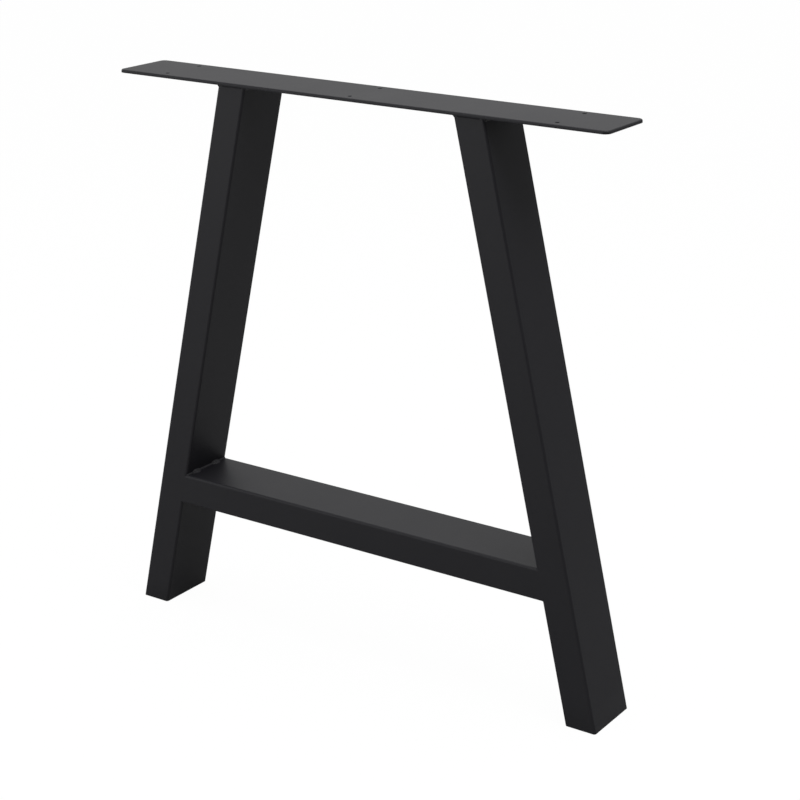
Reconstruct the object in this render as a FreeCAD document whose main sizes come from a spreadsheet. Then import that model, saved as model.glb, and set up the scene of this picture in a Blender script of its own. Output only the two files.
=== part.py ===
import FreeCAD, Part
import math
import os
import Sketcher

# Trestle table leg: an A-shaped steel frame under a flat screw plate.
# Millimetres. X runs along the plate, Y front to back, Z up from the floor.
# The origin is on the floor under the middle of the plate.

# Driving dimensions
SIZES = {
    "overall_height": 720,
    "foot_spread": 700,
    "shoulder_spread": 382,
    "plate_length": 700,
    "plate_overhang": 2.5,
    "plate_thickness": 4,
    "plate_corner_radius": 8,
    "plate_edge_radius": 1,
    "hole_diameter": 5,
    "hole_end_margin": 70,
    "hole_edge_margin": 12.5,
    "tube_face": 40,
    "tube_depth": 80,
    "tube_wall": 2,
    "tube_bend_radius": 1,
    "bar_height": 151,
    "head_weld_leg": 4,
    "head_weld_hollow": 12,
    "face_weld_leg": 2,
    "face_weld_hollow": 6,
    "weld_setback": 1,
    "ground_weld_width": 2,
    "tack_length": 16,
    "tack_crest": 5,
    "tack_leg": 5,
    "tack_inset": 19,
    "plug_play": 0.5,
    "plug_head": 3,
    "plug_depth": 22,
    "plug_wall": 2,
    "plug_hollow_radius": 1,
    "plug_fin": 1.2,
    "plug_fin_pitch": 5,
}
HOLE_PAIR_COUNT = 3
PLUG_FIN_COUNT = 3

# Sizes that follow from the driving ones, as formulas of the sheet
UNDERSIDE = "(Sizes.overall_height - Sizes.plate_thickness)"
PLATE_WIDTH = "(Sizes.tube_depth + 2 * Sizes.plate_overhang)"
LEAN = f"atan((Sizes.foot_spread - Sizes.shoulder_spread) / 2 / {UNDERSIDE})"
LEG_LEAN = f"-{LEAN}"
CUT_FACE = f"(Sizes.tube_face / cos({LEAN}))"
MITRE_RISE = f"(Sizes.tube_face * tan({LEAN}))"
LEG_LENGTH = f"({UNDERSIDE} / cos({LEAN}))"
FOOT_AXIS = f"(Sizes.foot_spread / 2 - {CUT_FACE} / 2)"
BAR_AXIS = "(Sizes.bar_height + Sizes.tube_face / 2)"
CORNER_RADIUS = "(Sizes.tube_bend_radius + Sizes.tube_wall)"
FLAT_FACE = f"(Sizes.tube_face - 2 * {CORNER_RADIUS})"
FLAT_DEPTH = f"(Sizes.tube_depth - 2 * {CORNER_RADIUS})"
BORE_FACE = "(Sizes.tube_face - 2 * Sizes.tube_wall)"
BORE_DEPTH = "(Sizes.tube_depth - 2 * Sizes.tube_wall)"

# Each side stands half a turn about the vertical from the other
SIDES = {"left": 180, "right": 0}


def value(thing, formula):
    """Number that a formula of the sheet has now."""
    result = thing.evalExpression(formula)
    return float(getattr(result, "Value", result))


def write_sheet(doc):
    """Keeps the driving dimensions, one named cell each."""
    sheet = doc.addObject("Spreadsheet::Sheet", "Sizes")
    for row, (alias, number) in enumerate(SIZES.items(), start=1):
        sheet.set(f"A{row}", alias)
        sheet.set(f"B{row}", str(number))
        sheet.setAlias(f"B{row}", alias)
    doc.recompute()


def turned(side, x, y, z, lean="0"):
    """Placement formula: a point of the right side and a lean about Y, both turned to the side."""
    turn = f"rotation(vector(0; 0; 1); {SIDES[side]})"
    sign = "-1" if side == "left" else "1"
    where = f"vector({sign} * {x}; {sign} * {y}; {z})"
    return f"placement({where}; {turn} * rotation(vector(0; 1; 0); {lean}))"


def new_body(doc, label, placement):
    """Empty body with its own label, and a placement that follows the sheet."""
    body = doc.addObject("PartDesign::Body", label)
    body.Label = label
    body.setExpression("Placement", placement)
    return body


def new_sketch(body, name, role, offset=None):
    """Sketch on one of the body's own origin planes, raised by a formula if one is given."""
    sketch = body.newObject("Sketcher::SketchObject", name)
    plane = next(f for f in body.Origin.OriginFeatures if f.Role == role)
    sketch.AttachmentSupport = (plane, [""])
    sketch.MapMode = "FlatFace"
    if offset:
        sketch.setExpression("AttachmentOffset.Base.z", offset)
    return sketch


def drive(sketch, name, formula, kind, *where):
    """Adds a dimension to the sketch and binds it to a formula of the sheet."""
    number = value(sketch, formula)
    if kind == "Angle":
        number = math.radians(number)
    index = sketch.addConstraint(Sketcher.Constraint(kind, *where, number))
    sketch.renameConstraint(index, name)
    sketch.setExpression(f"Constraints.{name}", formula)


def rounded_rectangle(sketch, name, width, height, radius):
    """Rectangle with round corners about the sketch's origin."""
    half_w = value(sketch, width) / 2
    half_h = value(sketch, height) / 2
    r = value(sketch, radius)
    in_w = half_w - r
    in_h = half_h - r
    up = FreeCAD.Vector(0, 0, 1)
    ends = [
        ((-in_w, -half_h), (in_w, -half_h)),
        ((half_w, -in_h), (half_w, in_h)),
        ((in_w, half_h), (-in_w, half_h)),
        ((-half_w, in_h), (-half_w, -in_h)),
    ]
    centres = [(in_w, -in_h), (in_w, in_h), (-in_w, in_h), (-in_w, -in_h)]
    sides = []
    corners = []
    for quarter, ((start, end), centre) in enumerate(zip(ends, centres)):
        line = Part.LineSegment(FreeCAD.Vector(*start, 0), FreeCAD.Vector(*end, 0))
        sides.append(sketch.addGeometry(line))
        circle = Part.Circle(FreeCAD.Vector(*centre, 0), up, r)
        first = (quarter - 1) * math.pi / 2
        corners.append(sketch.addGeometry(Part.ArcOfCircle(circle, first, first + math.pi / 2)))
    for here, corner in enumerate(corners):
        sketch.addConstraint(Sketcher.Constraint("Tangent", sides[here], 2, corner, 1))
        sketch.addConstraint(Sketcher.Constraint("Tangent", corner, 2, sides[(here + 1) % 4], 1))
    for bottom_or_top in (sides[0], sides[2]):
        sketch.addConstraint(Sketcher.Constraint("Horizontal", bottom_or_top))
    for end_side in (sides[1], sides[3]):
        sketch.addConstraint(Sketcher.Constraint("Vertical", end_side))
    for before, after in zip(corners, corners[1:]):
        sketch.addConstraint(Sketcher.Constraint("Equal", before, after))
    sketch.addConstraint(Sketcher.Constraint("Symmetric", corners[3], 3, corners[1], 3, -1, 1))
    drive(sketch, f"{name}_width", width, "DistanceX", sides[3], 1, sides[1], 1)
    drive(sketch, f"{name}_height", height, "DistanceY", sides[0], 1, sides[2], 1)
    drive(sketch, f"{name}_radius", radius, "Radius", corners[0])


def closed_outline(sketch, corners):
    """Closed outline of straight lines through the corners, joined end to end."""
    points = [FreeCAD.Vector(*corner, 0) for corner in corners]
    pairs = zip(points, points[1:] + points[:1])
    lines = [sketch.addGeometry(Part.LineSegment(start, end)) for start, end in pairs]
    for before, after in zip(lines, lines[1:] + lines[:1]):
        sketch.addConstraint(Sketcher.Constraint("Coincident", before, 2, after, 1))
    return lines


def pad(body, sketch, length, both_ways=False):
    """Raises a sketch into solid metal or plastic."""
    feature = body.newObject("PartDesign::Pad", f"{sketch.Name}_pad")
    feature.Profile = sketch
    feature.SideType = "Symmetric" if both_ways else "One side"
    feature.setExpression("Length", length)
    body.Document.recompute()
    return feature


def pocket(body, sketch, both_ways=False, upwards=False):
    """Cuts a sketch right through the body: both ways, upwards or downwards from its plane."""
    before = body.Shape.Volume
    feature = body.newObject("PartDesign::Pocket", f"{sketch.Name}_pocket")
    feature.Profile = sketch
    feature.SideType = "Symmetric" if both_ways else "One side"
    feature.Reversed = upwards
    feature.Type = "ThroughAll"
    body.Document.recompute()
    if body.Shape.Volume >= before:
        raise ValueError(f"{sketch.Name} cuts nothing out of {body.Label}")
    return feature


def saw_cut(body, name, height, angle, above):
    """Saws the body off along a slanted line of its XZ plane, above or below it.

    The line crosses the body's own Z axis at the height and rises with X by the angle. The waste
    is a block on one side of it, twice as long as the section is deep.
    """
    sketch = new_sketch(body, name, "XZ_Plane")
    level = value(sketch, height)
    slope = math.radians(value(sketch, angle))
    reach = value(sketch, "Sizes.tube_depth")
    across, rise = reach * math.cos(slope), reach * math.sin(slope)
    side = 1 if above else -1
    far = [(across - side * rise, level + rise + side * across),
           (-across - side * rise, level - rise + side * across)]
    lines = closed_outline(sketch, [(-across, level - rise), (across, level + rise)] + far)
    for before, after in zip(lines, lines[1:]):
        sketch.addConstraint(Sketcher.Constraint("Perpendicular", before, after))
    crossing = sketch.addGeometry(Part.Point(FreeCAD.Vector(0, level, 0)), True)
    sketch.addConstraint(Sketcher.Constraint("PointOnObject", crossing, 1, -2))
    sketch.addConstraint(Sketcher.Constraint("Symmetric", lines[0], 1, lines[0], 2, crossing, 1))
    drive(sketch, "level", height, "DistanceY", -1, 1, crossing, 1)
    drive(sketch, "slope", angle, "Angle", lines[0])
    drive(sketch, "reach", "2 * Sizes.tube_depth", "Distance", lines[0])
    drive(sketch, "waste", "Sizes.tube_depth", "Distance", lines[1])
    pocket(body, sketch, both_ways=True)


def top_plate(doc):
    """Flat bar with round corners, a softened top edge and three pairs of screw holes."""
    body = new_body(doc, "top_plate", f"placement(vector(0; 0; {UNDERSIDE}); rotation(0; 0; 0))")
    outline = new_sketch(body, "plate_outline", "XY_Plane")
    rounded_rectangle(
        outline, "plate", "Sizes.plate_length", PLATE_WIDTH, "Sizes.plate_corner_radius")
    pad(body, outline, "Sizes.plate_thickness")
    pair = new_sketch(body, "hole_pair", "XY_Plane")
    along = "(Sizes.plate_length / 2 - Sizes.hole_end_margin)"
    across = f"({PLATE_WIDTH} - 2 * Sizes.hole_edge_margin)"
    radius = "Sizes.hole_diameter / 2"
    holes = []
    for sign in (-1, 1):
        centre = FreeCAD.Vector(-value(pair, along), sign * value(pair, across) / 2, 0)
        circle = Part.Circle(centre, FreeCAD.Vector(0, 0, 1), value(pair, radius))
        holes.append(pair.addGeometry(circle))
    pair.addConstraint(Sketcher.Constraint("Equal", holes[0], holes[1]))
    pair.addConstraint(Sketcher.Constraint("Symmetric", holes[0], 3, holes[1], 3, -1))
    drive(pair, "hole_radius", radius, "Radius", holes[0])
    drive(pair, "across", across, "DistanceY", holes[0], 3, holes[1], 3)
    drive(pair, "along", along, "DistanceX", holes[0], 3, -1, 1)
    cut = pocket(body, pair, upwards=True)
    pattern = body.newObject("PartDesign::LinearPattern", "hole_pairs")
    pattern.Originals = [cut]
    pattern.Direction = (pair, ["H_Axis"])
    pattern.Occurrences = HOLE_PAIR_COUNT
    pattern.setExpression("Length", f"2 * {along}")
    body.Tip = pattern
    doc.recompute()
    rim = body.newObject("PartDesign::Fillet", "soft_top_edge")
    top = value(body, "Sizes.plate_thickness")
    edges = [
        f"Edge{number}"
        for number, edge in enumerate(pattern.Shape.Edges, start=1)
        if min(v.Z for v in edge.Vertexes) > top / 2 and len(edge.Vertexes) == 2
    ]
    rim.Base = (pattern, edges)
    rim.setExpression("Radius", "Sizes.plate_edge_radius")
    doc.recompute()
    return body


def hollow_section(sketch):
    """Rectangular tube section about the sketch's origin, its narrow face along the sketch's X."""
    rounded_rectangle(sketch, "outer", "Sizes.tube_face", "Sizes.tube_depth", CORNER_RADIUS)
    rounded_rectangle(sketch, "bore", BORE_FACE, BORE_DEPTH, "Sizes.tube_bend_radius")


def leg_tube(doc, side):
    """Leaning leg, modelled upright along its own axis and mitred flat at the foot and the head."""
    foot = turned(side, FOOT_AXIS, "0", "0", LEG_LEAN)
    body = new_body(doc, f"{side}_leg_tube", foot)
    section = new_sketch(body, f"{side}_leg_section", "XY_Plane", f"-{MITRE_RISE} / 2")
    hollow_section(section)
    pad(body, section, f"{LEG_LENGTH} + {MITRE_RISE}")
    saw_cut(body, f"{side}_foot_mitre", "0", LEG_LEAN, above=False)
    saw_cut(body, f"{side}_head_mitre", LEG_LENGTH, LEG_LEAN, above=True)
    return body


def bar_end(level):
    """Formula for how far from the middle the cross tube ends at a height above the floor."""
    return f"(Sizes.foot_spread / 2 - {CUT_FACE} - {level} * tan({LEAN}))"


def cross_tube(doc):
    """Tube lying flat between the legs, its ends mitred to their leaning inner faces."""
    body = new_body(doc, "cross_tube", f"placement(vector(0; 0; {BAR_AXIS}); rotation(0; 0; 0))")
    section = new_sketch(body, "bar_section", "YZ_Plane")
    rounded_rectangle(section, "outer", "Sizes.tube_depth", "Sizes.tube_face", CORNER_RADIUS)
    rounded_rectangle(section, "bore", BORE_DEPTH, BORE_FACE, "Sizes.tube_bend_radius")
    pad(body, section, f"2 * {bar_end('Sizes.bar_height')}", both_ways=True)
    mitre = new_sketch(body, "bar_mitre", "XZ_Plane")
    bottom = value(mitre, f"{bar_end('Sizes.bar_height')}")
    top = value(mitre, f"{bar_end('(Sizes.bar_height + Sizes.tube_face)')}")
    half = value(mitre, "Sizes.tube_face / 2")
    lines = closed_outline(mitre, [(bottom, -half), (top, half), (bottom, half)])
    mitre.addConstraint(Sketcher.Constraint("Horizontal", lines[1]))
    mitre.addConstraint(Sketcher.Constraint("Vertical", lines[2]))
    drive(mitre, "tip_along", bar_end("Sizes.bar_height"), "DistanceX", -1, 1, lines[0], 1)
    drive(mitre, "tip_below", "Sizes.tube_face / 2", "DistanceY", lines[0], 1, -1, 1)
    drive(mitre, "tube_face", "Sizes.tube_face", "DistanceY", lines[2], 2, lines[2], 1)
    drive(mitre, "mitre_run", MITRE_RISE, "DistanceX", lines[1], 1, lines[1], 2)
    cut = pocket(body, mitre, both_ways=True)
    both = body.newObject("PartDesign::Mirrored", "both_mitres")
    both.Originals = [cut]
    plane = next(f for f in body.Origin.OriginFeatures if f.Role == "YZ_Plane")
    both.MirrorPlane = (plane, [""])
    body.Tip = both
    doc.recompute()
    return body


def foot_plug(doc, side):
    """Hollow plastic insert in the open foot: a slanted head flush with the cut, and three fins."""
    foot = turned(side, FOOT_AXIS, "0", "0", LEG_LEAN)
    body = new_body(doc, f"{side}_foot_plug", foot)
    width = f"({BORE_FACE} - 2 * Sizes.plug_play)"
    depth = f"({BORE_DEPTH} - 2 * Sizes.plug_play)"
    radius = "(Sizes.tube_bend_radius - Sizes.plug_play)"
    core = new_sketch(body, f"{side}_plug_core", "XY_Plane", f"-{MITRE_RISE} / 2")
    rounded_rectangle(core, "core", width, depth, radius)
    pad(body, core, f"Sizes.plug_depth + {MITRE_RISE} / 2")
    fin_level = "(Sizes.plug_depth - Sizes.plug_fin)"
    for number in range(PLUG_FIN_COUNT):
        level = f"{fin_level} - {number} * Sizes.plug_fin_pitch"
        fin = new_sketch(body, f"{side}_plug_fin_{number + 1}", "XY_Plane", level)
        rounded_rectangle(fin, "fin", BORE_FACE, BORE_DEPTH, "Sizes.tube_bend_radius")
        pad(body, fin, "Sizes.plug_fin")
    floor_level = f"({MITRE_RISE} / 2 + Sizes.plug_head)"
    hollow = new_sketch(body, f"{side}_plug_hollow", "XY_Plane", floor_level)
    rounded_rectangle(
        hollow, "hollow", f"{width} - 2 * Sizes.plug_wall", f"{depth} - 2 * Sizes.plug_wall",
        "Sizes.plug_hollow_radius")
    pocket(body, hollow, upwards=True)
    saw_cut(body, f"{side}_plug_mitre", "0", LEG_LEAN, above=False)
    return body


def corner_bead(sketch, leg, first, second, hollow_radius):
    """Fillet weld section: two legs from the sketch's origin and a slightly hollow face.

    The legs run at the two angles, anticlockwise from the first to the second.
    """
    length = value(sketch, leg)
    radius = value(sketch, hollow_radius)
    angles = [math.radians(value(sketch, angle)) for angle in (first, second)]
    tips = [FreeCAD.Vector(math.cos(a), math.sin(a), 0) * length for a in angles]
    lines = [sketch.addGeometry(Part.LineSegment(FreeCAD.Vector(), tip)) for tip in tips]
    chord = tips[1] - tips[0]
    middle = (tips[0] + tips[1]) * 0.5
    outward = FreeCAD.Vector(middle).normalize()
    centre = middle + outward * math.sqrt(radius ** 2 - chord.Length ** 2 / 4)
    ends = [math.atan2(tip.y - centre.y, tip.x - centre.x) for tip in (tips[1], tips[0])]
    if ends[1] < ends[0]:
        ends[1] += 2 * math.pi
    circle = Part.Circle(centre, FreeCAD.Vector(0, 0, 1), radius)
    face = sketch.addGeometry(Part.ArcOfCircle(circle, *ends))
    for line in lines:
        sketch.addConstraint(Sketcher.Constraint("Coincident", line, 1, -1, 1))
    sketch.addConstraint(Sketcher.Constraint("Coincident", lines[1], 2, face, 1))
    sketch.addConstraint(Sketcher.Constraint("Coincident", lines[0], 2, face, 2))
    for line, word, angle in zip(lines, ("first", "second"), (first, second)):
        drive(sketch, f"{word}_leg", leg, "Distance", line)
        drive(sketch, f"{word}_angle", angle, "Angle", line)
    drive(sketch, "hollow_face", hollow_radius, "Radius", face)


def side_weld(doc, side, place):
    """Weld run between the plate and a leg's outer or inner face, along the section's depth."""
    outer = place == "outer"
    edge = "Sizes.shoulder_spread / 2" if outer else f"(Sizes.shoulder_spread / 2 - {CUT_FACE})"
    body = new_body(doc, f"{side}_plate_weld_{place}", turned(side, edge, "0", UNDERSIDE))
    section = new_sketch(body, f"{side}_{place}_bead", "XZ_Plane")
    down = f"({LEAN} - 90 deg)"
    angles = (down, "0 deg") if outer else ("180 deg", down)
    corner_bead(section, "Sizes.head_weld_leg", *angles, "Sizes.head_weld_hollow")
    pad(body, section, f"{FLAT_DEPTH} - 2 * Sizes.weld_setback", both_ways=True)
    return body


def face_weld(doc, side, place):
    """Small weld run between the plate's overhang and a leg's front or back face."""
    front = place == "front"
    middle = f"(Sizes.shoulder_spread / 2 - {CUT_FACE} / 2)"
    facing = "right" if front else "left"
    same_side = side == facing
    x = middle if same_side else f"-{middle}"
    body = new_body(
        doc, f"{side}_plate_weld_{place}",
        turned(facing, x, "-Sizes.tube_depth / 2", UNDERSIDE))
    section = new_sketch(body, f"{side}_{place}_bead", "YZ_Plane")
    corner_bead(section, "Sizes.face_weld_leg", "180 deg", "-90 deg", "Sizes.face_weld_hollow")
    pad(body, section, f"{FLAT_FACE} - 2 * Sizes.weld_setback", both_ways=True)
    return body


def envelope(doc, name, width, height, length, placement):
    """Solid outline of a tube, used only to shape the weld metal between tubes."""
    section = doc.addObject("Sketcher::SketchObject", f"{name}_section")
    rounded_rectangle(section, "outer", width, height, CORNER_RADIUS)
    bar = doc.addObject("Part::Extrusion", name)
    bar.Base = section
    bar.DirMode = "Normal"
    bar.Solid = True
    bar.Symmetric = True
    bar.setExpression("LengthFwd", length)
    section.setExpression("Placement", placement)
    doc.recompute()
    return bar


def ground_weld(doc, side, place, leg, bar):
    """Weld metal in the groove between a leg's round corner and the cross tube, ground flush."""
    rod = doc.addObject("Part::Box", f"{side}_{place}_rod")
    rod.setExpression("Length", "Sizes.ground_weld_width")
    rod.setExpression("Width", "Sizes.ground_weld_width")
    rod.setExpression("Height", "2 * Sizes.tube_face")
    low_edge = (place == "front") == (side == "right")
    y = "-Sizes.tube_depth / 2" if low_edge else "Sizes.tube_depth / 2 - Sizes.ground_weld_width"
    along = f"Sizes.bar_height / cos({LEAN}) - Sizes.tube_face / 2"
    in_leg = f"placement(vector(-Sizes.tube_face / 2; {y}; {along}); rotation(0; 0; 0))"
    rod.setExpression("Placement", f"{turned(side, FOOT_AXIS, '0', '0', LEG_LEAN)} * {in_leg}")
    within = doc.addObject("Part::Common", f"{side}_{place}_within")
    within.Base = rod
    within.Tool = bar
    weld = doc.addObject("Part::Cut", f"{side}_bar_weld_{place}")
    weld.Label = weld.Name
    weld.Base = within
    weld.Tool = leg
    doc.recompute()
    return weld


def tack(doc, side, level, place):
    """Short weld in the corner between the cross tube and a leg.

    Its outline along the corner, a low trapezium, is turned about the corner from face to face.
    """
    top = level == "top"
    height = f"(Sizes.bar_height + {'Sizes.tube_face' if top else '0'})"
    y_sign = "-1" if (place == "front") == (side == "right") else "1"
    offset = f"{y_sign} * (Sizes.tube_depth / 2 - Sizes.tack_inset)"
    where = turned(side, bar_end(height), offset, height)
    body = new_body(doc, f"{side}_bar_tack_{level}_{place}", where)
    outline = new_sketch(body, f"{side}_{level}_{place}_outline", "XY_Plane")
    half = value(outline, "Sizes.tack_length / 2")
    crest = value(outline, "Sizes.tack_crest / 2")
    leg = value(outline, "Sizes.tack_leg")
    corners = [(0, half), (0, -half), (-leg, -crest), (-leg, crest)]
    root, _, ridge, _ = closed_outline(outline, corners)
    outline.addConstraint(Sketcher.Constraint("Vertical", root))
    outline.addConstraint(Sketcher.Constraint("Symmetric", root, 1, root, 2, -1, 1))
    outline.addConstraint(Sketcher.Constraint("Symmetric", ridge, 1, ridge, 2, -1))
    drive(outline, "length", "Sizes.tack_length", "DistanceY", root, 2, root, 1)
    drive(outline, "crest", "Sizes.tack_crest", "DistanceY", ridge, 1, ridge, 2)
    drive(outline, "leg", "Sizes.tack_leg", "DistanceX", ridge, 1, -1, 1)
    turn = body.newObject("PartDesign::Revolution", f"{side}_{level}_{place}_turn")
    turn.Profile = outline
    turn.ReferenceAxis = (outline, ["V_Axis"])
    turn.Reversed = not top
    turn.setExpression("Angle", f"90 deg {'-' if top else '+'} {LEAN}")
    doc.recompute()
    return body


def bar_welds(doc, side, bar):
    """All the weld metal at one end of the cross tube."""
    leg = envelope(
        doc, f"{side}_leg_envelope", "Sizes.tube_face", "Sizes.tube_depth",
        f"2 * {LEG_LENGTH}", turned(side, FOOT_AXIS, "0", "0", LEG_LEAN))
    ends = ("front", "back")
    ground = [ground_weld(doc, side, place, leg, bar) for place in ends]
    tacks = [tack(doc, side, level, place) for level in ("top", "bottom") for place in ends]
    return ground + tacks


def check(doc, pieces):
    """Stops unless every object is up to date and every piece is one sound solid."""
    for thing in doc.Objects:
        if "Invalid" in thing.State or "Error" in thing.State:
            raise ValueError(f"{thing.Name} is {thing.State}")
    for piece in pieces:
        shape = piece.Shape
        if shape.isNull() or not shape.isValid() or len(shape.Solids) != 1:
            raise ValueError(f"{piece.Label} is not one sound solid")


def build():
    """Makes the document, checks it and writes one file for each piece."""
    doc = FreeCAD.newDocument("trestle_table_leg")
    write_sheet(doc)
    pieces = [top_plate(doc), cross_tube(doc)]
    bar = envelope(
        doc, "bar_envelope", "Sizes.tube_depth", "Sizes.tube_face", "Sizes.foot_spread",
        f"placement(vector(0; 0; {BAR_AXIS}); rotation(90; 0; 90))")
    for side in SIDES:
        pieces.append(leg_tube(doc, side))
        pieces.append(foot_plug(doc, side))
        pieces += [side_weld(doc, side, place) for place in ("outer", "inner")]
        pieces += [face_weld(doc, side, place) for place in ("front", "back")]
        pieces += bar_welds(doc, side, bar)
    check(doc, pieces)
    os.makedirs("parts", exist_ok=True)
    for piece in pieces:
        piece.Shape.exportStep(f"parts/{piece.Label}.step")
        box = piece.Shape.BoundBox
        print(f"{piece.Label:28s} {piece.Shape.Volume:12.2f} mm3  "
              f"x {box.XMin:8.2f} {box.XMax:8.2f}  y {box.YMin:7.2f} {box.YMax:7.2f}  "
              f"z {box.ZMin:7.2f} {box.ZMax:7.2f}")


build()
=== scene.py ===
import math

import bmesh
import bpy
import numpy as np
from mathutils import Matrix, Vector
from mathutils.geometry import delaunay_2d_cdt


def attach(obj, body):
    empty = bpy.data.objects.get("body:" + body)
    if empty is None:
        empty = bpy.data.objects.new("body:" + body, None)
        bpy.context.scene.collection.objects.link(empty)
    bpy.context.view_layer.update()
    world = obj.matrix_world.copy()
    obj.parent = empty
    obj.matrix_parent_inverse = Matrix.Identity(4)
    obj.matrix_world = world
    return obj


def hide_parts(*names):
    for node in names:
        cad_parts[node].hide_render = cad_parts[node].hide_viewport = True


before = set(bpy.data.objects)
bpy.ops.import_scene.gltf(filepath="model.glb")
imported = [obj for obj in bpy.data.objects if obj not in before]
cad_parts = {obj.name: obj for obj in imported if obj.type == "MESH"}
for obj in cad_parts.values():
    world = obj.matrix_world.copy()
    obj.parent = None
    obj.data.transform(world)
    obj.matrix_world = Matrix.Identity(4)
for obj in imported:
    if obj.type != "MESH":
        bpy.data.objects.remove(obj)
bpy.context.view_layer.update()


# Studio
# A plain white floor and a white surround. The light comes from a lamp and a pale ceiling overhead,
# two wide low lamps at the front and the left, one high at the right with a weak one behind it, and
# a pale wall behind at the left.
def floor_sheet(name, half, z):
    """One flat square: its four corners are (+-half, +-half, z)."""
    mesh = bpy.data.meshes.new(name)
    corners = [(-half, -half, z), (half, -half, z), (half, half, z), (-half, half, z)]
    mesh.from_pydata(corners, [], [(0, 1, 2, 3)])
    sheet = bpy.data.objects.new(name, mesh)
    bpy.context.scene.collection.objects.link(sheet)
    return sheet


class Wire:
    """One socket of a finish; sums, differences and products of wires add their Math nodes."""

    def __init__(self, finish, socket):
        self.finish = finish
        self.socket = socket

    def math(self, operation, *terms):
        """One Math node with the terms as its inputs, in order."""
        return self.finish.node("ShaderNodeMath", {"operation": operation}, dict(enumerate(terms)))

    def __add__(self, other):
        return self.math("ADD", self, other)

    __radd__ = __add__

    def __sub__(self, other):
        return self.math("SUBTRACT", self, other)

    def __rsub__(self, other):
        return self.math("SUBTRACT", other, self)

    def __mul__(self, other):
        return self.math("MULTIPLY", self, other)

    __rmul__ = __mul__

    def squared(self):
        """Square of the positive part."""
        positive = self.math("MAXIMUM", self, 0.0)
        return positive * positive


class Finish:
    """The node tree of a material or a world, built up node by node."""

    def __init__(self, owner):
        self.owner = owner
        owner.use_nodes = True
        self.tree = owner.node_tree
        self.tree.nodes.clear()

    def node(self, kind, settings=None, inputs=None, out=0):
        """Adds a node: settings first, then a value or a wire for each input named or numbered."""
        node = self.tree.nodes.new(kind)
        for key, setting in (settings or {}).items():
            setattr(node, key, setting)
        for key, value in (inputs or {}).items():
            if isinstance(value, Wire):
                self.tree.links.new(value.socket, node.inputs[key])
            else:
                node.inputs[key].default_value = value
        return Wire(self, node.outputs[out]) if node.outputs else node


white, floor_grey = (1, 1, 1, 1), (0.3, 0.3, 0.3, 1)
floor_glow, glow_seen, glow_mirrored = 1.06, 0.92, 0.085
floor = floor_sheet("floor", half=9.0, z=-0.0002)
paper = Finish(bpy.data.materials.new("white_paper"))
by_camera = paper.node("ShaderNodeLightPath", out="Is Camera Ray")
by_metal = paper.node("ShaderNodeLightPath", out="Is Glossy Ray")
share = by_camera * glow_seen + by_metal * glow_mirrored
lit = paper.node("ShaderNodeBsdfDiffuse", None, {"Color": floor_grey})
glow = paper.node("ShaderNodeEmission", None, {"Color": white, "Strength": floor_glow})
both = paper.node("ShaderNodeMixShader", None, {0: share, 1: lit, 2: glow})
paper.node("ShaderNodeOutputMaterial", None, {"Surface": both})
floor.data.materials.append(paper.owner)

surround = Finish(bpy.data.worlds.new("surround"))
bpy.context.scene.world = surround.owner
heading = surround.node("ShaderNodeTexCoord", out="Generated")
ceiling_light, wall_light = 1.27, 0.735


def towards(*direction):
    """How far the heading points along a direction."""
    settings = {"operation": "DOT_PRODUCT"}
    return surround.node("ShaderNodeVectorMath", settings, {0: heading, 1: direction}, out="Value")


ceiling = towards(0.0, 0.0, 1.0).squared()
pale_wall = towards(-0.59, 0.81, 0.0).squared()
directly = surround.node("ShaderNodeLightPath", out="Is Camera Ray")
by_glass = surround.node("ShaderNodeLightPath", out="Is Transmission Ray")
seen = directly + by_glass
strength = seen + (1.0 - seen) * (ceiling_light * ceiling + wall_light * pale_wall)
light = surround.node("ShaderNodeBackground", None, {"Color": white, "Strength": strength})
surround.node("ShaderNodeOutputWorld", None, {"Surface": light})

lamp_aim = Vector((0, 0, 0.4))


def soft_lamp(name, place, size, watts):
    """Square lamp at a place, turned so that it faces the middle of the leg."""
    lamp = bpy.data.lights.new(name, "AREA")
    lamp.shape = "SQUARE"
    lamp.size = size
    lamp.energy = watts
    holder = bpy.data.objects.new(name, lamp)
    holder.location = place
    holder.rotation_euler = (lamp_aim - Vector(place)).to_track_quat("-Z", "Y").to_euler()
    bpy.context.scene.collection.objects.link(holder)


soft_lamp("overhead", (0.3, -0.2, 2.9), size=2.4, watts=21.5)
soft_lamp("front_low", (-1.2, -3.1, 0.9), size=2.4, watts=30.5)
soft_lamp("left_low", (-3.0, -1.6, 0.9), size=2.4, watts=22)
soft_lamp("right_up", (1.6, -0.2, 2.2), size=1.0, watts=20)
soft_lamp("right_back", (2.2, 1.6, 1.4), size=1.4, watts=4.2)

# The focal length and the optical centre are in pixels of a square frame 800 across.
frame_width, film_width = 800, 36
focal_length, centre_x, centre_y = 1985.17388, 445.29004, 288.02874
frame_middle = (frame_width - 1) / 2
camera = bpy.data.objects.new("camera", bpy.data.cameras.new("camera"))
camera.location = (1.3554666, -1.87492804, 1.15144314)
camera.rotation_euler = [math.radians(angle) for angle in (73.777844, 0.026957, 33.499875)]
camera.data.sensor_width = film_width
camera.data.lens = focal_length / frame_width * film_width
camera.data.shift_x = (frame_middle - centre_x) / frame_width
camera.data.shift_y = (centre_y - frame_middle) / frame_width
bpy.context.scene.collection.objects.link(camera)
bpy.context.scene.camera = camera
bpy.context.scene.view_settings.view_transform = "Standard"


# Leg tubes
# Two lengths of 80 by 40 mm rectangular tube with a 2 mm wall, cold rolled with 3 mm corners and
# sawn at a slant, so that they stand flat on the floor and are welded flat under the plate. The
# whole frame is powder coated matt black.
coat_dark, coat_light = (0.0094, 0.0092, 0.0116, 1), (0.0134, 0.0132, 0.0160, 1)


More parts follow.
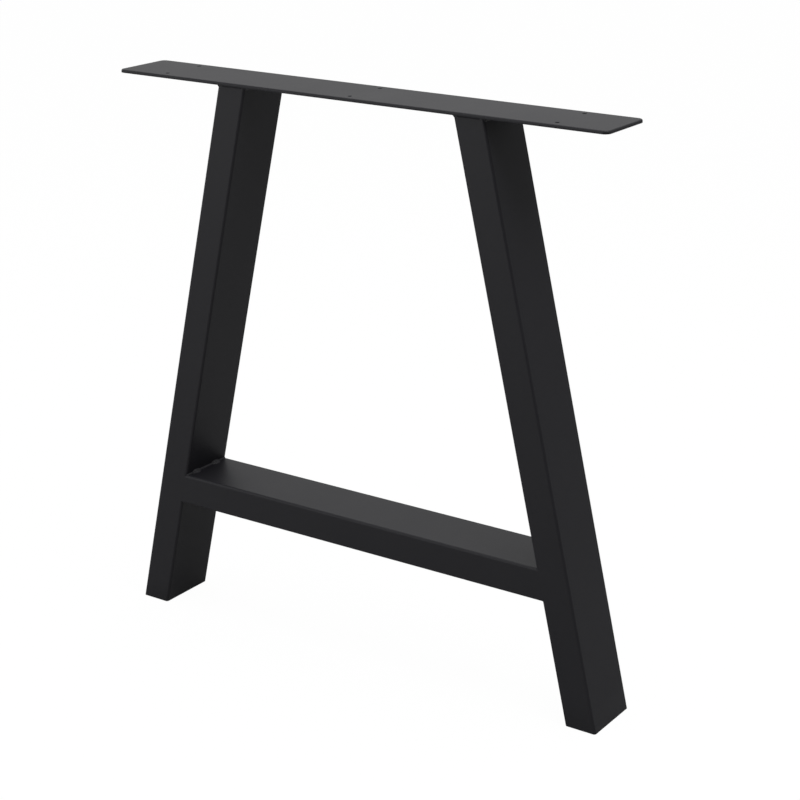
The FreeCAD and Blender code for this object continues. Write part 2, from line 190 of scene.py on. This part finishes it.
def powder_coat(name, grain=1.0):
    """Matt black powder coat. A fine dense grain lies over a shallow peel 2 to 3 mm across, and the
    colour drifts between its two tones in broad clouds, broken up by the grain."""
    coat = Finish(bpy.data.materials.new(name))
    place = coat.node("ShaderNodeTexCoord", out="Object")

    def noise(scale, detail, roughness):
        """Fractal noise over the piece's own coordinates."""
        settings = {"noise_dimensions": "3D"}
        inputs = {"Vector": place, "Scale": scale, "Detail": detail, "Roughness": roughness}
        return coat.node("ShaderNodeTexNoise", settings, inputs)

    peel = noise(scale=420.0, detail=2.0, roughness=0.5)
    fine = noise(scale=2300.0, detail=1.0, roughness=0.5)
    cloud = noise(scale=9.0, detail=3.0, roughness=0.6)
    height = peel * 0.55 + fine * 0.45
    bump = coat.node(
        "ShaderNodeBump", None, {"Strength": 0.35 * grain, "Distance": 0.00009, "Height": height})
    tint = coat.node(
        "ShaderNodeMix", {"data_type": "RGBA"},
        {0: cloud * 0.7 + fine * 0.3, 6: coat_dark, 7: coat_light}, out=2)
    rough = 0.41 + 0.08 * cloud + 0.06 * fine
    skin = coat.node("ShaderNodeBsdfPrincipled", None, {
        "Base Color": tint, "Roughness": rough, "Normal": bump, "Specular IOR Level": 0.25})
    coat.node("ShaderNodeOutputMaterial", None, {"Surface": skin})
    return coat.owner


def rounded_outline(width, depth, radius, steps=10, rest=0.0005):
    """Closed outline of a rounded rectangle, anticlockwise, and its outward directions.

    Each corner is a quarter circle in even steps, with one more point a short way along the flat
    before it and one after it, so that the flats shade flat.
    """
    turn = np.linspace(0, math.pi / 2, steps + 1)
    quarter = np.stack([np.cos(turn), np.sin(turn)], 1)
    quarter_turn = np.array([[0, -1], [1, 0]])
    points = []
    outward = []
    for k, (sx, sy) in enumerate([(1, 1), (-1, 1), (-1, -1), (1, -1)]):
        arc = quarter @ np.linalg.matrix_power(quarter_turn, k).T
        centre = np.array([sx * (width / 2 - radius), sy * (depth / 2 - radius)])
        before = centre + arc[0] * radius - arc[-1] * rest
        after = centre + arc[-1] * radius - arc[0] * rest
        points.append(np.vstack([before, centre + arc * radius, after]))
        outward.append(np.vstack([arc[0], arc, arc[-1]]))
    return np.vstack(points), np.vstack(outward)


def grid_quads(number):
    """Quads between the neighbours of a numbered grid; its last two axes are rows and columns."""
    quads = [number[..., :-1, :-1], number[..., :-1, 1:], number[..., 1:, 1:], number[..., 1:, :-1]]
    return np.stack(quads, -1).reshape(-1, 4).tolist()


def surface(name, grid, wrap_rows, wrap_columns, coat, node, sharp=40):
    """Piece made of quads between neighbouring points of a grid of rows and columns."""
    rows, columns = grid.shape[:2]
    number = np.arange(rows * columns).reshape(rows, columns)
    if wrap_rows:
        number = np.vstack([number, number[:1]])
    if wrap_columns:
        number = np.hstack([number, number[:, :1]])
    return piece(name, grid.reshape(-1, 3), grid_quads(number), coat, node, sharp)


def piece(name, points, faces, coat, node, sharp=40):
    """Object from points and faces: doubles merged, normals outward, rides on the leg."""
    mesh = bpy.data.meshes.new(name)
    mesh.from_pydata(points.tolist(), [], faces)
    shell = bmesh.new()
    shell.from_mesh(mesh)
    bmesh.ops.remove_doubles(shell, verts=shell.verts, dist=1e-6)
    bmesh.ops.recalc_face_normals(shell, faces=shell.faces)
    shell.to_mesh(mesh)
    shell.free()
    mesh.shade_smooth()
    mesh.set_sharp_from_angle(angle=math.radians(sharp))
    mesh.materials.append(coat)
    thing = bpy.data.objects.new(name, mesh)
    bpy.context.scene.collection.objects.link(thing)
    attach(thing, "root")
    if node:
        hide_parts(node)
    return thing


sides = (("left", -1), ("right", 1))
front_and_back = (("front", -1), ("back", 1))
tube_face, tube_depth, tube_wall, tube_corner = 0.040, 0.080, 0.002, 0.003
foot_x, shoulder_x, underside = 0.350, 0.191, 0.716
lean = math.atan((foot_x - shoulder_x) / underside)
cut_face = tube_face / math.cos(lean)
foot_edge, arc_middle, leg_levels = 0.0004, 0.3, 25
tube_coat = powder_coat("tube_coat")


def leg_skin(sign):
    """Slices of the leaning tube at chosen heights: the section widened by 1 / cos(lean), shifted
    by height times tan(lean), out along the outside, over the rims and back along the bore."""
    outer, out_dir = rounded_outline(tube_face, tube_depth, tube_corner)
    bore, bore_dir = rounded_outline(
        tube_face - 2 * tube_wall, tube_depth - 2 * tube_wall, tube_corner - tube_wall)
    slices = [(0, foot_edge), (foot_edge * arc_middle, foot_edge * arc_middle), (foot_edge, 0)]
    slices += [(z, 0) for z in np.linspace(foot_edge, underside, leg_levels)[1:]]
    rows = [(outer - out_dir * inset, z) for z, inset in slices]
    rows += [(bore + bore_dir * inset, z) for z, inset in slices[::-1]]
    grid = np.zeros((len(rows), len(outer), 3))
    for row, (outline, z) in enumerate(rows):
        middle = foot_x - cut_face / 2 - z * math.tan(lean)
        grid[row, :, 0] = sign * (middle + outline[:, 0] / math.cos(lean))
        grid[row, :, 1] = outline[:, 1]
        grid[row, :, 2] = z
    return grid


for side, sign in sides:
    node = f"{side}_leg_tube"
    surface(f"{side}_leg", leg_skin(sign), True, True, tube_coat, node)


# Cross tube
# The same tube laid flat between the legs and welded to them, its ends sawn to their slant. The
# corner grooves at the front and back are filled with weld metal and ground flush.
bar_low, bar_stations = 0.151, 17
bar_middle = bar_low + tube_face / 2
ground_width, groove_steps = 0.002, 9


def inner_face(z):
    """Distance from the middle to a leg's inner face at a height."""
    return foot_x - cut_face - z * math.tan(lean)


def bar_skin():
    """The section stretched between the two slanted ends, outside and bore, joined at the rims."""
    outer, _ = rounded_outline(tube_depth, tube_face, tube_corner)
    bore, _ = rounded_outline(
        tube_depth - 2 * tube_wall, tube_face - 2 * tube_wall, tube_corner - tube_wall)
    along = np.linspace(-1, 1, bar_stations)
    rows = [(outer, s) for s in along] + [(bore, s) for s in along[::-1]]
    grid = np.zeros((len(rows), len(outer), 3))
    for row, (outline, s) in enumerate(rows):
        z = bar_middle + outline[:, 1]
        grid[row] = np.stack([s * inner_face(z), outline[:, 0], z], 1)
    return grid


surface("crossbar", bar_skin(), True, True, tube_coat, "cross_tube")


def corner_drop(y):
    """How far the rounded corner falls back from the flat at a distance from the tube's middle."""
    past = np.clip(np.abs(y) - (tube_depth / 2 - tube_corner), 0, tube_corner)
    return tube_corner - np.sqrt(tube_corner ** 2 - past ** 2)


def groove_fill(sign, face):
    """Block between the bar's end and the leg's round corner: a mapped cube. Its three parameters
    run from the ground width inside to the flush face, from the bar's underside to its top, and
    from the bar's end into the groove."""
    steps = np.linspace(0, 1, groove_steps)
    sheets = []
    for axis in range(3):
        for level in (0.0, 1.0):
            sheet = list(np.meshgrid(steps, steps, indexing="ij"))
            sheet.insert(axis, np.full_like(sheet[0], level))
            sheets.append(np.stack(sheet, -1))
    cube = np.stack(sheets)
    past = tube_corner - ground_width * (1 - np.sin(cube[..., 0] * math.pi / 2))
    y = tube_depth / 2 - tube_corner + past
    drop = corner_drop(y)
    z = bar_middle + (2 * cube[..., 1] - 1) * (tube_face / 2 - drop)
    x = inner_face(z) + cube[..., 2] * drop / math.cos(lean)
    points = np.stack([sign * x, face * y, z], -1)
    number = np.arange(points[..., 0].size).reshape(points.shape[:3])
    return points.reshape(-1, 3), grid_quads(number)


for side, sign in sides:
    for word, face in front_and_back:
        points, quads = groove_fill(sign, face)
        node = f"{side}_bar_weld_{word}"
        piece(f"{side}_flush_weld_{word}", points, quads, tube_coat, node)


# Welds
# Beads run by hand with a wire torch, each a row of overlapping ripples about 2 mm apart, left as
# welded under the coat. Slightly hollow beads hold the plate and reach round the legs' corners.
# Short round tacks hold the cross tube, and between them the coat closes the joint in a thin seam.
def unit(vector):
    """The vector divided by its length."""
    return np.array(vector, float) / np.linalg.norm(vector)


def bead(name, centre, along, first, second, leg, length, round_by, taper, node, pitch=0.0021,
         climb=1.0, peak=2.0, ripple_depth=0.07, wrap=(0.0, 0.0)):
    """Weld in a corner. Along the bead the leg keeps its size and closes to nothing over the taper
    as a curve between a wedge and an ellipse; across, the skin swings from the first face to the
    second, where it climbs by its own share, on a curve between the straight chord and the arc;
    ripples lift it in crescents that trail towards the middle. A bead that wraps falls back at its
    ends with the rounded corners of the faces it joins."""
    rows_per_ripple, columns, crowding, trail = 7, 13, 0.35, 0.9
    along, first, second = unit(along), unit(first), unit(second)
    corner = math.acos(first @ second)
    even = np.linspace(-1, 1, int(length / pitch * rows_per_ripple) | 1)
    placed = np.sin(even * math.pi / 2) * crowding + even * (1 - crowding)
    distance = placed * length / 2
    past = np.clip((np.abs(distance) - (length / 2 - taper)) / taper, 0, 1)
    size = leg * (1 - past ** peak) ** (peak / 4)
    a = np.linspace(0, 1, columns)
    chord = math.cos(corner / 2) / np.cos(corner * (a - 0.5))
    shape = chord * (1 - round_by) + round_by
    crescent = trail * (2 * a - 1) ** 2
    phase = distance[:, None] / pitch + crescent[None, :]
    wave = 1 - (2 * (phase - np.floor(phase)) - 1) ** 2
    reach = np.sin(math.pi * a)[None, :] ** 0.5
    ripple = 1 - ripple_depth * (1 - wave) * reach
    fan = np.sin((1 - a) * corner)[:, None] * first + np.sin(a * corner)[:, None] * second * climb
    fan /= math.sin(corner)
    radius = size[:, None] * shape[None, :] * ripple
    fall = wrap[0] * first + wrap[1] * second
    root = np.array(centre) + distance[:, None] * along - corner_drop(distance)[:, None] * fall
    skin = root[:, None] + radius[..., None] * fan[None]
    grid = np.concatenate([root[:, None], skin], 1)
    return surface(name, grid, False, True, weld_coat, node, sharp=60)


weld_coat = powder_coat("weld_coat", grain=1.4)
flat_face = tube_face - 2 * tube_corner
head_outer_x, head_inner_x = shoulder_x, shoulder_x - cut_face
head_middle_x = shoulder_x - cut_face / 2
head_leg, head_length, head_hollow = 0.004, tube_depth - 0.0008, -0.3
face_leg, face_length, face_hollow = 0.002, flat_face - 0.002, -0.2
head_taper = 0.002
tack_leg, tack_length, tack_round, tack_taper = 0.0062, 0.016, 0.45, 0.008
tack_shape = {"climb": 0.66, "peak": 1.5, "ripple_depth": 0.16}
tack_places = (("front", -0.021), ("back", 0.018))
seam_length, seam_round, seam_taper = tube_depth - 0.001, 0.1, 0.0015
top_seam_leg, bottom_seam_leg = 0.0018, 0.0008
across, backward, underneath = (1, 0, 0), (0, 1, 0), (0, 0, -1)
for side, sign in sides:
    down = (sign * math.sin(lean), 0, -math.cos(lean))
    up = (-sign * math.sin(lean), 0, math.cos(lean))
    for word, x, out in (("outer", head_outer_x, 1), ("inner", head_inner_x, -1)):
        bead(f"{side}_{word}_bead", (sign * x, 0, underside), backward, (sign * out, 0, 0), down,
             head_leg, head_length, head_hollow, head_taper, f"{side}_plate_weld_{word}",
             wrap=(1.0, 0.0))
    for word, face in front_and_back:
        place = (sign * head_middle_x, face * tube_depth / 2, underside)
        bead(f"{side}_{word}_bead", place, across, (0, face, 0), underneath,
             face_leg, face_length, face_hollow, head_taper, f"{side}_plate_weld_{word}")
    for level, z, rise, seam_leg in (("top", bar_low + tube_face, up, top_seam_leg),
                                     ("bottom", bar_low, down, bottom_seam_leg)):
        for word, y in tack_places:
            bead(f"{side}_{level}_tack_{word}", (sign * inner_face(z), y, z), backward,
                 (-sign, 0, 0), rise, tack_leg, tack_length, tack_round, tack_taper,
                 f"{side}_bar_tack_{level}_{word}", **tack_shape)
        bead(f"{side}_{level}_seam", (sign * inner_face(z), 0, z), backward, (-sign, 0, 0), rise,
             seam_leg, seam_length, seam_round, seam_taper, None, ripple_depth=0.0,
             wrap=(1.0, 1.0))


# Top plate
# A 700 by 85 mm piece of 4 mm flat bar, welded on the legs' heads, with its corners rounded and its
# edges broken. Six 5 mm holes take the screws that go up into the table top.
plate_length, plate_width, plate_thick, plate_corner = 0.700, 0.085, 0.004, 0.008
plate_top = underside + plate_thick
top_round, bottom_break, edge_rest, bend_rows = 0.0018, 0.0002, 0.0006, 5
hole_radius, hole_lip, hole_points = 0.0025, 0.0003, 40
hole_x, hole_y = (-0.280, 0.0, 0.280), (-0.030, 0.030)
plate_coat = powder_coat("plate_coat")


def plate_rim():
    """Insets and depths of a rim's rows, down over a soft top edge, the wall and a crisp lower
    edge, with one more row on each flat so that the flats shade flat."""
    rim = [(top_round + edge_rest, 0.0)]
    for t in np.linspace(0, math.pi / 2, bend_rows):
        rim.append((top_round * (1 - math.sin(t)), top_round * (1 - math.cos(t))))
    rim.append((0, plate_thick - bottom_break))
    rim.append((bottom_break * arc_middle, plate_thick - bottom_break * arc_middle))
    rim.append((bottom_break, plate_thick))
    rim.append((bottom_break + edge_rest, plate_thick))
    return rim


def plate_shell():
    """Rims carried along closed outlines, and flats filled between the outlines' end rows. Each
    hole's rim goes down through the plate as the outer one does around it, with smaller insets."""
    outline, outward = rounded_outline(plate_length, plate_width, plate_corner, steps=12)
    turn = np.linspace(0, 2 * math.pi, hole_points, endpoint=False)
    ring = np.stack([np.cos(turn), np.sin(turn)], 1)
    loops = [(outline, -outward, 1.0)]
    for x in hole_x:
        for y in hole_y:
            loops.append((np.array([x, y]) + ring * hole_radius, ring, hole_lip / top_round))
    points, faces, tops, bottoms = [], [], [], []
    count = 0
    for loop, inward, scale in loops:
        rows = []
        for inset, depth in plate_rim():
            level = np.full(len(loop), plate_top - depth)
            rows.append(np.column_stack([loop + inward * inset * scale, level]))
        number = count + np.arange(len(rows) * len(loop)).reshape(len(rows), len(loop))
        faces += grid_quads(np.hstack([number, number[:, :1]]))
        tops.append(number[0])
        bottoms.append(number[-1])
        points += rows
        count += number.size
    points = np.vstack(points)
    for edges in (tops, bottoms):
        order = np.concatenate(edges)
        flat = [Vector(p) for p in points[order][:, :2]]
        starts = np.cumsum([0] + [len(loop) for loop in edges]).tolist()
        rings = [list(range(start, end)) for start, end in zip(starts, starts[1:])]
        result = delaunay_2d_cdt(flat, [], rings, 0, 1e-9)
        coords, triangles = result[0], result[2]
        if len(coords) != len(flat):
            raise ValueError("the plate's outlines meet")
        owner = np.repeat(np.arange(len(edges)), [len(loop) for loop in edges])
        for triangle in triangles:
            owners = {int(owner[i]) for i in triangle}
            if len(owners) > 1 or owners == {0}:
                faces.append([int(order[i]) for i in triangle])
    return points, faces


points, faces = plate_shell()
piece("screw_plate", points, faces, plate_coat, "top_plate")


# Foot plugs
# Moulded black polyethylene inserts, pressed into the open feet so that they end flush with the
# cut. Their moulded skin is finely grained and a little shinier than the coat.
plug_dark, plug_light = (0.016, 0.016, 0.017, 1), (0.026, 0.026, 0.027, 1)


def moulded_plastic(name):
    """Black moulded plastic: a fine spark-eroded grain, and a tint that drifts with the flow."""
    plastic = Finish(bpy.data.materials.new(name))
    place = plastic.node("ShaderNodeTexCoord", out="Object")
    grain = plastic.node(
        "ShaderNodeTexNoise", None, {"Vector": place, "Scale": 1500.0, "Detail": 2.0})
    flow = plastic.node(
        "ShaderNodeTexNoise", None, {"Vector": place, "Scale": 45.0, "Detail": 2.0})
    bump = plastic.node(
        "ShaderNodeBump", None, {"Strength": 0.3, "Distance": 0.00006, "Height": grain})
    tint = plastic.node(
        "ShaderNodeMix", {"data_type": "RGBA"}, {0: flow, 6: plug_dark, 7: plug_light}, out=2)
    skin = plastic.node("ShaderNodeBsdfPrincipled", None, {
        "Base Color": tint, "Roughness": 0.42 + 0.1 * grain, "Normal": bump,
        "Specular IOR Level": 0.4})
    plastic.node("ShaderNodeOutputMaterial", None, {"Surface": skin})
    return plastic.owner


plug_skin = moulded_plastic("plug_plastic")
for side, _ in sides:
    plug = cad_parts[f"{side}_foot_plug"]
    plug.data.materials.clear()
    plug.data.materials.append(plug_skin)
